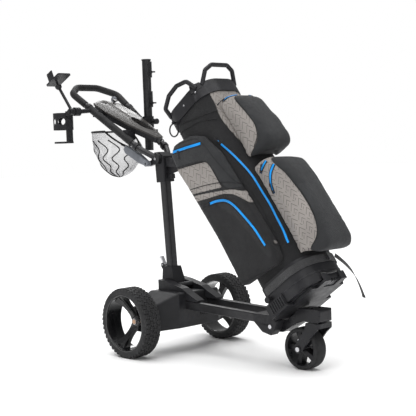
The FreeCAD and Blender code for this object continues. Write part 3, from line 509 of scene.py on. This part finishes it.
# ---- wheels ------------------------------------------------------------------------------------
def rear_wheel(name, side):
    centre = (0, side * 265.5, 145)
    body = "rear_wheel_" + name

    tyre = Parts()
    tyre.lathe([(-40, 119), (-40, 131), (-38.5, 137), (-35, 140.5), (35, 140.5), (38.5, 137),
                (40, 131), (40, 119)], 96, centre)
    per_row, rows = 45, (-27, -9, 9, 27)
    for row, y in enumerate(rows):
        for i in range(per_row):
            middle = TAU * (i + 0.5 * (row % 2)) / per_row

            def hexagon(radius, reach):
                ring = []
                for k in range(6):
                    angle = TAU * (k + 0.5) / 6
                    turn = middle + reach * math.sin(angle) / radius
                    ring.append((centre[0] + radius * math.cos(turn),
                                 centre[1] + y + reach * math.cos(angle),
                                 centre[2] + radius * math.sin(turn)))
                return ring
            rings = [hexagon(140, 10.2), hexagon(144.2, 9.6), hexagon(145, 8.6),
                     hexagon(145, 5.4), hexagon(144.1, 4.4)]
            tyre.loft(rings)
    for i in range(per_row):
        for edge in (-1, 1):
            angle = TAU * (i + 0.25 * (1 + edge)) / per_row
            spin = Matrix.Translation(Vector(centre)) @ Matrix.Rotation(angle, 4, "Y")
            tyre.block(-4.5, 4.5, *sorted((edge * 35.5, edge * 39.4)), 132, 141.5, spin)
    tyre.make("tyre_" + name, body, TYRE, replaces=["rear_tyre_" + name])

    rim = Parts()
    rim.lathe([(-39.6, 119), (-40.4, 116), (-39.6, 112.6), (-36, 111.6), (36, 111.6),
               (39.6, 112.6), (40.4, 116), (39.6, 119)], 96, centre)
    rim.lathe([(side * -47, 8), (side * -47, 22), (side * -44, 24), (side * -24, 24),
               (side * -21, 20), (side * -20, 16), (side * -22, 8)], 40, centre)
    stations = [(17, -34, 13, 15, 0.0), (34, -31, 12, 13, 0.5), (55, -24, 12, 12, 1.5),
                (76, -15, 13, 13.5, 3.0), (94, -6, 16, 18, 4.5), (106, 0, 19, 25, 5.0),
                (113, 3, 21, 32, 4.0)]
    first = {"right": 0, "left": 45}[name]
    for i in range(3):
        spin = Matrix.Translation(Vector(centre)) @ Matrix.Rotation(
            math.radians(first + 120 * i), 4, "Y")
        rings = []
        for reach, y, deep, wide, dish in stations:
            section = [(-wide, -deep), (0, -deep + 2), (wide, -deep), (wide + 2, 0),
                       (wide, deep), (wide * 0.6, deep - 1), (0, deep - dish - 2),
                       (-wide * 0.6, deep - 1), (-wide, deep), (-wide - 2, 0)]
            rings.append([spin @ Vector((reach, side * (y + a), b)) for b, a in section])
        rim.loft(rings)
    rim.make("rim_" + name, body, GLOSS, bevel=1.2,
             replaces=["rear_rim_" + name], sharp=55)

    bolt = Parts()
    bolt.lathe([(side * -20.5, 0.1), (side * -20.5, 11), (side * -15, 11),
                (side * -13.5, 9), (side * -13.5, 0.1)], 6, centre)
    bolt.make("hub_bolt_" + name, body, COPPER, bevel=0.8)


def front_wheel():
    centre = (711, 0, 81)
    tyre = Parts()
    profile = [(-29, 69), (-30, 74), (-28, 77.5)]
    for i in range(14):
        y = -26 + 4 * i
        crown = 81 - 2.6 * (y / 28) ** 4
        profile += [(y - 1.4, crown), (y + 1.0, crown), (y + 1.3, crown - 0.9),
                    (y + 2.3, crown - 0.9)]
    profile += [(28, 77.5), (30, 74), (29, 69)]
    tyre.lathe(profile, 88, centre)
    tyre.make("front_tyre_ribbed", "front_wheel", TYRE, replaces=["front_tyre"],
              sharp=60)
    caps = Parts()
    for side in (-1, 1):
        caps.lathe([(side * 43, 0.1), (side * 43, 14), (side * 45.5, 14), (side * 46.5, 12),
                    (side * 46.8, 0.1)], 28, centre)
    caps.make("fork_axle_caps", "front_fork", PLASTIC, bevel=0.6)


rear_wheel("right", -1)
rear_wheel("left", 1)
front_wheel()


# ---- golf bag: cloth shell and padded pockets --------------------------------------------------
def side_of(point, ring):
    """Signed distance to a closed outline of (n, h), positive inside, in its own units."""
    x, y = point
    inside, best = False, 1e9
    for (ax, ay), (bx, by) in zip(ring, ring[1:] + ring[:1]):
        if (ay > y) != (by > y) and x < ax + (y - ay) / (by - ay) * (bx - ax):
            inside = not inside
        dx, dy = bx - ax, by - ay
        t = max(0.0, min(1.0, ((x - ax) * dx + (y - ay) * dy) / (dx * dx + dy * dy)))
        best = min(best, math.hypot(x - ax - t * dx, y - ay - t * dy))
    return best if inside else -best


def smooth_ring(points):
    """A closed outline rounded by cutting its corners three times."""
    for _ in range(3):
        points = [p for a, b in zip(points, points[1:] + points[:1])
                  for p in ((0.75 * a[0] + 0.25 * b[0], 0.75 * a[1] + 0.25 * b[1]),
                            (0.25 * a[0] + 0.75 * b[0], 0.25 * a[1] + 0.75 * b[1]))]
    return points


SIDE_TOP = smooth_ring([(-150, 800), (-126, 792), (-40, 756), (22, 725), (52, 668), (66, 597),
                        (86, 510), (110, 396), (40, 430), (14, 470), (12, 560), (-10, 606),
                        (-80, 640), (-190, 690), (-190, 790)])
SIDE_PRINT = [(-200, 690), (-20, 602), (0, 590), (8, 560), (10, 460), (-200, 562)]
SIDE_BAND = smooth_ring([(-200, 556), (-35, 473), (104, 394), (104, 200), (100, 66), (86, 66),
                         (88, 200), (84, 330), (52, 398), (4, 436), (-60, 462), (-200, 524)])
SIDE_GLOSS = smooth_ring([(-20, 430), (26, 392), (56, 300), (74, 160), (74, 110), (40, 120),
                          (24, 250), (-6, 350), (-60, 420)])
UPPER_HOOD = smooth_ring([(192, 830), (202, 760), (214, 700), (226, 640), (232, 590),
                          (222, 545), (186, 522), (120, 508), (120, 380), (420, 380),
                          (420, 830)])
LOWER_HOOD = smooth_ring([(206, 560), (214, 440), (230, 400), (250, 340), (260, 225), (256, 130),
                          (238, 84), (190, 58), (100, 46), (90, -60), (420, -60), (420, 560)])
BODY_PRINT = smooth_ring([(118, 900), (118, 800), (112, 700), (130, 560), (150, 480),
                          (260, 480), (260, 900)])


def paint_regions(mesh, kind):
    """Write the signed distances that the cloth material reads, from bag coordinates."""
    to_bag = BAG.inverted()
    values = {"printed": [], "hood": [], "gloss": [], "seam": []}
    for vertex in mesh.vertices:
        local = to_bag @ vertex.co
        spot = (local.x / MM, local.z / MM)
        printed = hood = gloss = -50.0
        if kind == "side":
            top = side_of(spot, SIDE_TOP)
            printed = max(side_of(spot, SIDE_PRINT), side_of(spot, SIDE_BAND))
            printed = min(printed, -top)
            hood = top
            gloss = side_of(spot, SIDE_GLOSS)
            seam = min(abs(printed), abs(hood))
        elif kind in ("upper", "lower"):
            hood = side_of(spot, UPPER_HOOD if kind == "upper" else LOWER_HOOD)
            printed = -hood
            seam = abs(hood)
        else:
            printed = side_of(spot, BODY_PRINT)
            seam = abs(printed)
        for key, value in (("printed", printed), ("hood", hood), ("gloss", gloss),
                           ("seam", seam)):
            values[key].append(value * MM)
    for key, numbers in values.items():
        made = mesh.attributes.new(key, "FLOAT", "POINT")
        made.data.foreach_set("value", numbers)


def bag_ring(grow, h, points=72, ripple=0.0):
    """The bag's rounded section at a height, as points in millimetres."""
    half_x, half_y, corner = BAG_HALF_X + grow, BAG_HALF_Y + grow, BAG_CORNER + grow
    ring = []
    for i in range(points):
        angle = TAU * i / points
        cx = math.copysign(half_x - corner, math.cos(angle))
        cy = math.copysign(half_y - corner, math.sin(angle))
        swell = corner + ripple * math.sin(5 * angle + h / 47) * math.sin(h / 31)
        ring.append((cx + swell * math.cos(angle), cy + swell * math.sin(angle), h))
    return ring


def bag_shell():
    shell = Parts()
    heights = [BODY_FOOT + (BODY_TOP - BODY_FOOT) * i / 90 for i in range(91)]
    outer = []
    for h in heights:
        share = min(1.0, (h - BODY_FOOT) / 30, (BODY_TOP - h) / 30)
        pinch = 0.9 * math.exp(-((h - 812) / 5) ** 2)
        outer.append(bag_ring(-1.2 * (1 - share) - pinch, h, ripple=1.3 * share))
    inner = [bag_ring(-5, h) for h in reversed(heights)]
    shell.loft(outer + inner, closed=True)
    made = shell.make("bag_shell", "bag", CLOTH, matrix=BAG,
                      replaces=["bag_body"], sharp=70)
    paint_regions(made.data, "body")
    return made


def padded_pocket(name, node, kind, shrink, cap, voxel, pressure, passes=4, taper=0.0):
    """A stuffed pocket: the CAD solid remeshed, a little smaller, then blown up as cloth.

    The half width shrinks by the taper share toward the front of the bag.
    """
    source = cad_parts[node]
    obj = bpy.data.objects.new(name, source.data.copy())
    bpy.context.scene.collection.objects.link(obj)
    remesh = obj.modifiers.new("remesh", "REMESH")
    remesh.mode = "VOXEL"
    remesh.voxel_size = voxel * MM
    settle(obj)
    bm = bmesh.new()
    bm.from_mesh(obj.data)
    bmesh.ops.recalc_face_normals(bm, faces=bm.faces)
    for _ in range(passes):
        bmesh.ops.smooth_vert(bm, verts=bm.verts, factor=0.5, use_axis_x=True,
                              use_axis_y=True, use_axis_z=True)
    bm.normal_update()
    to_bag = BAG.inverted()
    for vertex in bm.verts:
        local = to_bag @ (vertex.co - vertex.normal * shrink * MM)
        reach = max(0.0, min(1.0, (local.x / MM - 130) / 130))
        local.y *= 1 - taper * reach ** 2
        vertex.co = BAG @ local
    bm.to_mesh(obj.data)
    bm.free()
    blow_up(obj, cap, pressure)
    obj.data.materials.clear()
    obj.modifiers.new("finer", "SUBSURF").render_levels = 1
    obj.modifiers["finer"].levels = 1
    settle(obj)
    paint_regions(obj.data, kind)
    dress_piece(obj, "bag", CLOTH, [node], sharp=80)
    return obj


def settle(obj):
    """Replace the mesh by what its modifiers make of it."""
    graph = bpy.context.evaluated_depsgraph_get()
    graph.update()
    made = bpy.data.meshes.new_from_object(obj.evaluated_get(graph))
    obj.modifiers.clear()
    obj.data = made


def blow_up(obj, cap, pressure):
    scene = bpy.context.scene
    rest = [v.co.copy() for v in obj.data.vertices]
    cloth = obj.modifiers.new("cloth", "CLOTH")
    cloth.settings.use_pressure = True
    cloth.settings.uniform_pressure_force = pressure
    cloth.settings.effector_weights.gravity = 0
    cloth.settings.quality = 5
    for number in range(1, 21):
        scene.frame_set(number)
    settle(obj)
    scene.frame_set(1)
    for vertex, start in zip(obj.data.vertices, rest):
        step = vertex.co - start
        if step.length > cap * MM:
            vertex.co = start + step.normalized() * cap * MM


shell = bag_shell()
side_right = padded_pocket("pocket_side_right", "side_pocket_right", "side",
                           3.0, 6, 7, 3.0)
side_left = padded_pocket("pocket_side_left", "side_pocket_left", "side",
                          3.0, 6, 7, 3.0)
upper = padded_pocket("pocket_upper", "upper_pocket", "upper", 2.0, 9, 7, 4.0,
                      passes=16, taper=0.24)
lower = padded_pocket("pocket_lower", "lower_pocket", "lower", 2.0, 9, 8, 4.0,
                      passes=16, taper=0.20)


# ---- trim that follows the cloth ---------------------------------------------------------------
def tree_of(objects):
    verts, faces = [], []
    for obj in objects:
        start = len(verts)
        verts += [v.co.copy() for v in obj.data.vertices]
        faces += [[start + i for i in p.vertices] for p in obj.data.polygons]
    return BVHTree.FromPolygons(verts, faces)


CAST_FROM = 300                     # rays start this far out, beyond every pocket
RIGHT_SKIN = tree_of([side_right, shell, upper, lower])
LEFT_SKIN = tree_of([side_left, shell, upper, lower])


def on_side(points, side, step):
    """A path of (n, h) points dropped onto the bag's side, with its normals."""
    tree = RIGHT_SKIN if side < 0 else LEFT_SKIN
    path, normals = [], []
    inward = Vector((0, -side, 0))
    for spot in smooth_path([(n, 0, h) for n, h in points], step):
        start = BAG @ (Vector((spot.x, side * CAST_FROM, spot.z)) * MM)
        hit, normal, _, _ = tree.ray_cast(start, inward)
        if hit is not None:
            if normal.dot(inward) > 0:
                normal = -normal
            path.append(hit)
            normals.append(normal)
    for _ in range(3):
        normals = [(a + 2 * b + c).normalized() for a, b, c in zip(
            normals[:1] + normals, normals, normals[1:] + normals[-1:])]
    return path, normals


def strip(name, path, normals, section, material, sharp=45):
    parts = Parts()
    scaled = (lambda i: [(a * MM, b * MM) for a, b in section(i)]) if callable(section) else [
        (a * MM, b * MM) for a, b in section]
    parts.loft(tube_rings(path, normals, scaled))
    return piece(name, parts.verts, parts.faces, "bag", material, sharp=sharp)


def zip_line(name, points, side, width=4.2, slider=0.0, slider_made=True):
    """A zip sewn on the side of the bag: black welts, blue teeth, and a slider with a puller."""
    path, normals = on_side(points, side=side, step=1.6)
    if len(path) < 4:
        return
    strip(name + "_welt", path, normals,
          [(-width - 4.2, -1.2), (-width - 4.2, 1.0), (-width - 2.8, 2.0), (-width - 0.6, 1.6),
           (width + 0.6, 1.6), (width + 2.8, 2.0), (width + 4.2, 1.0), (width + 4.2, -1.2)],
          TAPE)

    def teeth(i):
        rise = 2.9 if i % 2 else 2.4
        return [(-width, -0.5), (-width, 2.0), (-width * 0.55, rise), (0, rise - 0.5),
                (width * 0.55, rise), (width, 2.0), (width, -0.5)]
    strip(name + "_teeth", path, normals, teeth, ZIP, sharp=25)
    if not slider_made:
        return
    at = min(len(path) - 2, int(slider * (len(path) - 1)))
    ahead = (path[at + 1] - path[max(at - 1, 0)]).normalized()
    up = normals[at]
    across = ahead.cross(up).normalized()
    turn = Matrix((across, ahead, across.cross(ahead))).transposed().to_4x4()
    if (turn.to_3x3() @ Vector((0, 0, 1))).dot(up) < 0:
        turn = turn @ Matrix.Rotation(math.pi, 4, "Y")
    place = Matrix.Translation(path[at]) @ turn
    slider_parts = Parts()
    low = [(-5.5, -7, 2), (5.5, -7, 2), (4, 7, 2), (-4, 7, 2)]
    slider_parts.prism(low, [(x * 0.8, y * 0.9, 5.4) for x, y, _ in low])
    slider_parts.block(-1.6, 1.6, -5, 3, 5, 7.4)
    slider_parts.block(-2.6, 2.6, -24, -3, 5.4, 7.2)
    slider_parts.block(-3.6, 3.6, -34, -22, 4.8, 8.0)
    slider_parts.make(name + "_slider", "bag", PLASTIC, matrix=place, bevel=0.7)


PIPING_LIFT = 0.3                   # keeps the cord proud of the cloth


def piping(name, points, side, radius=1.5):
    path, normals = on_side(points, side=side, step=6)
    if len(path) > 3:
        section = [(a, b + PIPING_LIFT) for a, b in circle(radius)]
        strip(name, path, normals, section, TAPE, sharp=80)


def side_trim(tag, side):
    zip_line("zip_side_straight_" + tag, [(-133, 735), (-60, 702), (18, 665)], side, width=5.0,
             slider=0.0, slider_made=side > 0)
    zip_line("zip_side_curved_" + tag,
             [(-93, 452), (-44, 434), (-4, 408), (20, 370), (38, 310), (54, 240), (62, 160)],
             side, width=4.6, slider=0.02)
    zip_line("zip_side_long_" + tag,
             [(66, 640), (90, 560), (108, 470), (114, 380), (116, 290), (114, 200), (110, 134)],
             side, width=3.8, slider=0.03)
    piping("piping_pocket_" + tag, [(-166, 568), (-36, 508), (60, 448), (88, 380), (90, 220),
                                    (84, 84)], side)
    piping("piping_panel_" + tag, [(-150, 762), (-40, 722), (8, 694), (30, 640), (44, 570),
                                   (58, 500), (76, 420)], side, radius=1.1)
    piping("piping_print_" + tag, [(-170, 672), (-40, 612), (-4, 592), (8, 560), (10, 470)],
           side, radius=1.0)
    piping("piping_low_" + tag, [(-148, 116), (-40, 96), (60, 80)], side, radius=1.6)
    for number, run in enumerate(([(-70, 828), (-24, 806), (60, 770), (116, 752)],
                                  [(-100, 800), (-40, 784), (40, 758), (104, 720)])):
        path, normals = on_side(run, side=side, step=6)
        strip("elastic_trim_%s_%d" % (tag, number), path, normals,
              [(a, b + 1.6) for a, b in circle(2.0)], TAPE, sharp=80)


side_trim("right", -1)
side_trim("left", 1)
for tag, side in (("right", -1), ("left", 1)):
    zip_line("zip_upper_" + tag, [(158, 768), (180, 768), (204, 762)], side, width=4.0)
    zip_line("zip_lower_a_" + tag, [(196, 446), (172, 434), (150, 424)], side, width=4.0,
             slider=0.9)
    zip_line("zip_lower_b_" + tag, [(222, 412), (196, 392), (172, 360), (158, 322)], side,
             width=4.2, slider=0.95)
    piping("hood_piping_upper_" + tag, [(202, 752), (213, 700), (225, 640), (230, 590),
                                        (216, 548), (180, 524)], side, radius=1.4)
    piping("hood_piping_lower_" + tag, [(229, 404), (248, 340), (257, 225), (253, 130),
                                        (232, 84), (190, 62)], side, radius=1.4)


def zip_pull():
    """A detailed slider for the side pocket's straight zip, which travels along it."""
    turn = Matrix.Translation(BAG @ (Vector((-104, 0, 716)) * MM))
    turn = turn @ Matrix.Rotation(math.radians(24 - BAG_LEAN), 4, "Y")
    parts = Parts()
    parts.block(-7, 7, -163.2, -158.8, -5.5, 5.5)
    parts.block(-2, 2, -165.6, -163, -5, 3)
    parts.block(-2.6, 3, -166, -164.2, -26, -2)
    parts.block(-4, 4, -166, -163.4, -31, -24)
    parts.make("zip_slider_puller", "zip_slider", PLASTIC, matrix=turn,
               bevel=0.6, replaces=["zip_slider"])


zip_pull()


# ---- bag base, collar and straps ---------------------------------------------------------------
def bag_hardware():
    rivets = Parts()
    for n, h in ((104, 868), (4, 866), (-70, 862)):
        for side in (-1, 1):
            y = 122.5 if abs(n) < 60 else 118.5
            rivets.round_rod((n * 0.82, side * y, h), (n * 0.82, side * (y + 2.6), h), 4.2, 16, 3.0)
    rivets.make("collar_rivets", "bag", STEEL, matrix=BAG, bevel=0.5)

    joint = Parts()
    low = [(66, -127, 872), (112, -104, 872), (118, -86, 884), (104, -92, 906), (74, -122, 908)]
    joint.prism(low, [(x - 10, y + 9, z) for x, y, z in low])
    joint.make("handle_block", "bag", PLASTIC, matrix=BAG, bevel=2.0)

    plate = Parts()
    plate.block(30, 112, -58, 58, -57.6, -51.8)
    plate.block(100, 128, -40, 24, -57.0, -51.8)
    plate.make("base_plate", "bag", BASE_GREY, matrix=BAG, bevel=2.2)

    foot = Parts()
    for i in range(5):
        foot.block(112, 138, -34 + 15 * i, -27 + 15 * i, -58, -46)
    foot.make("base_plate_ribs", "bag", PLASTIC, matrix=BAG, bevel=1.0)

    rim = Parts()
    rings = [bag_ring(2.0, h) for h in (-14, -8)]
    outer = [bag_ring(4.8, h) for h in (-13, -9)]
    rim.loft([rings[0], outer[0], outer[1], rings[1]], closed=True)
    rim.make("base_welt", "bag", PLASTIC, matrix=BAG, sharp=60)

    grip = Parts()
    path = smooth_path([(136, -52, -22), (146, -30, -28), (149, 0, -30), (146, 22, -28),
                        (139, 28, -22)], 4)
    normals = [Vector((1, 0, 0))] * len(path)
    grip.loft(tube_rings(path, normals, circle(5.2, 12)))
    grip.make("base_front_grip", "bag", GLOSS, matrix=BAG, sharp=80)


def strap_end():
    """The loose end of the base strap, one smooth flat run of webbing with a moulded tip."""
    start = BAG @ (Vector((151, 62, 35)) * MM)
    route = [start, cart(842, 100, 400), cart(872, 132, 330), cart(880, 150, 268)]
    curve = bpy.data.curves.new("strap_route", "CURVE")
    curve.dimensions = "3D"
    curve.resolution_u = 24
    spline = curve.splines.new("NURBS")
    spline.points.add(len(route) - 1)
    for point, place in zip(spline.points, route):
        point.co = (*place, 1)
    spline.order_u = 3
    spline.use_endpoint_u = True
    guide = bpy.data.objects.new("strap_route", curve)
    line = [v.co.copy() for v in bpy.data.meshes.new_from_object(guide).vertices]
    bpy.data.objects.remove(guide)
    along = (BAG.to_3x3() @ Vector((0, 0, 1))).normalized()
    normals = []
    for i in range(len(line)):
        ahead = (line[min(i + 1, len(line) - 1)] - line[max(i - 1, 0)]).normalized()
        across = (along - ahead * along.dot(ahead)).normalized()
        normals.append(ahead.cross(across).normalized())
    wide, thick = 9.6 * MM, 1.1 * MM
    ribbon = Parts()
    ribbon.loft(tube_rings(line, normals, [(-wide, -thick), (wide, -thick), (wide, thick),
                                           (-wide, thick)]))
    made = piece("strap_end", ribbon.verts, ribbon.faces, "chassis", WEB,
                 replaces=["strap_tail"])
    ahead = (line[-1] - line[-4]).normalized()
    tip = Parts()
    first = tube_rings([line[-4], line[-1]], normals[-2:],
                       [(-wide * 1.05, -thick * 2), (wide * 1.05, -thick * 2),
                        (wide * 1.05, thick * 2), (-wide * 1.05, thick * 2)])
    tip.loft(first)
    tip_piece = piece("strap_tip", tip.verts, tip.faces, "chassis", PLASTIC)
    soften(tip_piece, 0.6)


bag_hardware()
strap_end()


# ---- net pouch ---------------------------------------------------------------------------------
def net_pouch():
    centre, half = Vector((-366, 0, 940)), (170, 76, 206)
    slope = math.radians(33)
    cut_normal = Matrix.Rotation(slope, 3, "Y") @ Vector((0, 0, 1))
    cut_place = centre + Vector((-10, 0, 4))
    around, down = 150, 56
    verts, faces, rim = [], [], []
    for i in range(around):
        angle = TAU * i / around
        flat = Vector((half[0] * math.cos(angle), half[1] * math.sin(angle), 0))
        for k in range(down + 1):
            drop = k / down
            direction = Vector((flat.x * math.cos(drop * math.pi / 2),
                                flat.y * math.cos(drop * math.pi / 2),
                                -half[2] * math.sin(drop * math.pi / 2)))
            place = centre + direction
            over = (place - cut_place).dot(cut_normal)
            if over > 0:
                place -= cut_normal * over
            crumple = 2.0 * math.sin(7 * angle + 6 * drop) * math.sin(math.pi * drop)
            place += Vector((math.cos(angle), math.sin(angle), 0)) * (crumple - 2.5)
            verts.append(place)
            if k == 0:
                rim.append(place)
    per = down + 1
    for i in range(around):
        a, b = i * per, (i + 1) % around * per
        for k in range(down):
            faces.append((a + k, b + k, b + k + 1, a + k + 1))
    mesh = Parts()
    mesh.add(verts, faces)
    net = mesh.make("net_mesh", "handle", NET, replaces=["net_pouch"], sharp=80)
    threads = net.modifiers.new("threads", "WIREFRAME")
    threads.thickness = 0.0011
    threads.use_even_offset = False
    settle(net)

    binding = Parts()
    path = [p + Vector((0, 0, 1)) for p in rim] + [rim[0] + Vector((0, 0, 1))]
    binding.loft(tube_rings(path, [cut_normal] * len(path), circle(4.2, 10)))
    binding.make("net_binding", "handle", BINDING, sharp=80)

    ties = Parts()
    for i, angle in enumerate((200, 236, 262, 290, 322)):
        zig = []
        for k in range(7):
            turn = math.radians(angle + (13 if k % 2 else -13) * (1 - k / 7))
            drop = 0.12 + 0.84 * k / 6
            zig.append(centre + Vector((
                half[0] * math.cos(turn) * math.cos(drop * math.pi / 2),
                half[1] * math.sin(turn) * math.cos(drop * math.pi / 2),
                -half[2] * math.sin(drop * math.pi / 2))))
        zig = [p - cut_normal * max(0.0, (p - cut_place).dot(cut_normal)) for p in zig]
        line = smooth_path(zig, 8)
        outward = [Vector((0, -1, 0)) if p.y < 0 else Vector((0, 1, 0)) for p in line]
        ties.loft(tube_rings(line, outward, circle(2.6, 8)))
    ties.make("net_elastic_trim", "handle", BINDING, sharp=80)


net_pouch()


# ---- console -----------------------------------------------------------------------------------
def console_cover():
    outline = [(0, 18), (-150, 62), (-300, 82), (-395, 76), (-425, 30)]
    hole_x, hole_a, hole_b = -133.0, 75.0, 26.0

    def edge(x):
        for (x0, y0), (x1, y1) in zip(outline, outline[1:]):
            if x1 <= x <= x0:
                t = (x - x0) / (x1 - x0)
                t = t * t * (3 - 2 * t) if x < -395 else t
                return y0 + (y1 - y0) * t
        return outline[-1][1]

    def hole(x):
        share = 1 - ((x - hole_x) / hole_a) ** 2
        return hole_b * math.sqrt(share) if share > 0 else 0.0

    stations = [-425 * i / 85 for i in range(86)]
    across = 14
    for side, tag in ((-1, "right"), (1, "left")):
        top, faces = [], []
        for x in stations:
            inner, outer = hole(x), edge(x)
            for k in range(across + 1):
                y = inner + (outer - inner) * k / across
                share = y / outer
                crown = 9.0 * (1 - share ** 2) * min(1.0, -x / 60, (425 + x) / 30 + 0.35)
                ridge = 3.0 * math.exp(-(y / 7.0) ** 2) * (1 if x < -215 else 0.4)
                lip = 2.2 * math.exp(-((y - inner) / 5.0) ** 2) if inner > 0 else 0.0
                z = 0.6 + crown * 0.8 + ridge + lip
                if math.hypot(x + 388, side * y + 24) < 14:
                    z = 0.4 + crown * 0.3
                top.append(Vector((x, side * y, z)))
        row = across + 1
        count = len(stations)
        verts = top + [Vector((v.x, v.y, -3.0)) for v in top]
        under = len(top)
        for i in range(count - 1):
            for k in range(across):
                a = i * row + k
                faces.append((a, a + 1, a + row + 1, a + row))
                faces.append((under + a, under + a + row, under + a + row + 1, under + a + 1))
            for k in (0, across):
                a = i * row + k
                faces.append((a, a + row, under + a + row, under + a))
        for i in (0, count - 1):
            for k in range(across):
                a = i * row + k
                faces.append((a, under + a, under + a + 1, a + 1))
        crown_parts = Parts()
        crown_parts.add(verts, faces)
        crown_parts.make("console_crown_" + tag, "handle", CONSOLE_GREY,
                         matrix=CONSOLE, sharp=40)
    trim = Parts()
    ring = [(hole_x + (hole_a + 1) * math.cos(TAU * i / 60),
             (hole_b + 1) * math.sin(TAU * i / 60), 4) for i in range(61)]
    trim.loft(tube_rings([Vector(p) for p in ring], [Vector((0, 0, 1))] * 61, circle(2.4, 10)))
    trim.make("console_hole_rim", "handle", SATIN, matrix=CONSOLE, sharp=80)
    recess = Parts()
    disc = [(-388 + 17 * math.cos(TAU * i / 36), -24 + 13 * math.sin(TAU * i / 36), 1.0)
            for i in range(36)]
    recess.prism(disc, [(x, y, 4.2) for x, y, _ in disc])
    recess.make("console_button_recess", "handle", SATIN, matrix=CONSOLE,
                bevel=1.2)


def handle_details():
    trims = Parts()
    for side in (-1, 1):
        a = Vector((-140, side * 79, 864))
        b = Vector((-420, side * 116, 1049))
        step = (b - a).normalized()
        trims.round_rod(a - step * 4, a + step * 12, 18.2, 28)
        trims.round_rod(b - step * 8, b + step * 8, 18.2, 28)
    trims.make("sleeve_collars", "handle", PLASTIC, bevel=1.2)
    lines = Parts()
    for side in (-1, 1):
        a = Vector((-152, side * 80.6, 889))
        b = Vector((-404, side * 114, 1056))
        lines.round_rod(a, b, 1.2, 8)
    lines.make("sleeve_seams", "handle", STEEL)
    for level, body, z0, z1 in (("lower", "handle", 1050, 1114),
                                ("upper", "umbrella_extension", 1184, 1248)):
        plate = Parts()
        plate.block(-285.4, -283, 131.5, 144.5, z0, z1)
        plate.make("umbrella_boss_plate_" + level, body, PLASTIC, bevel=0.6)


console_cover()
handle_details()
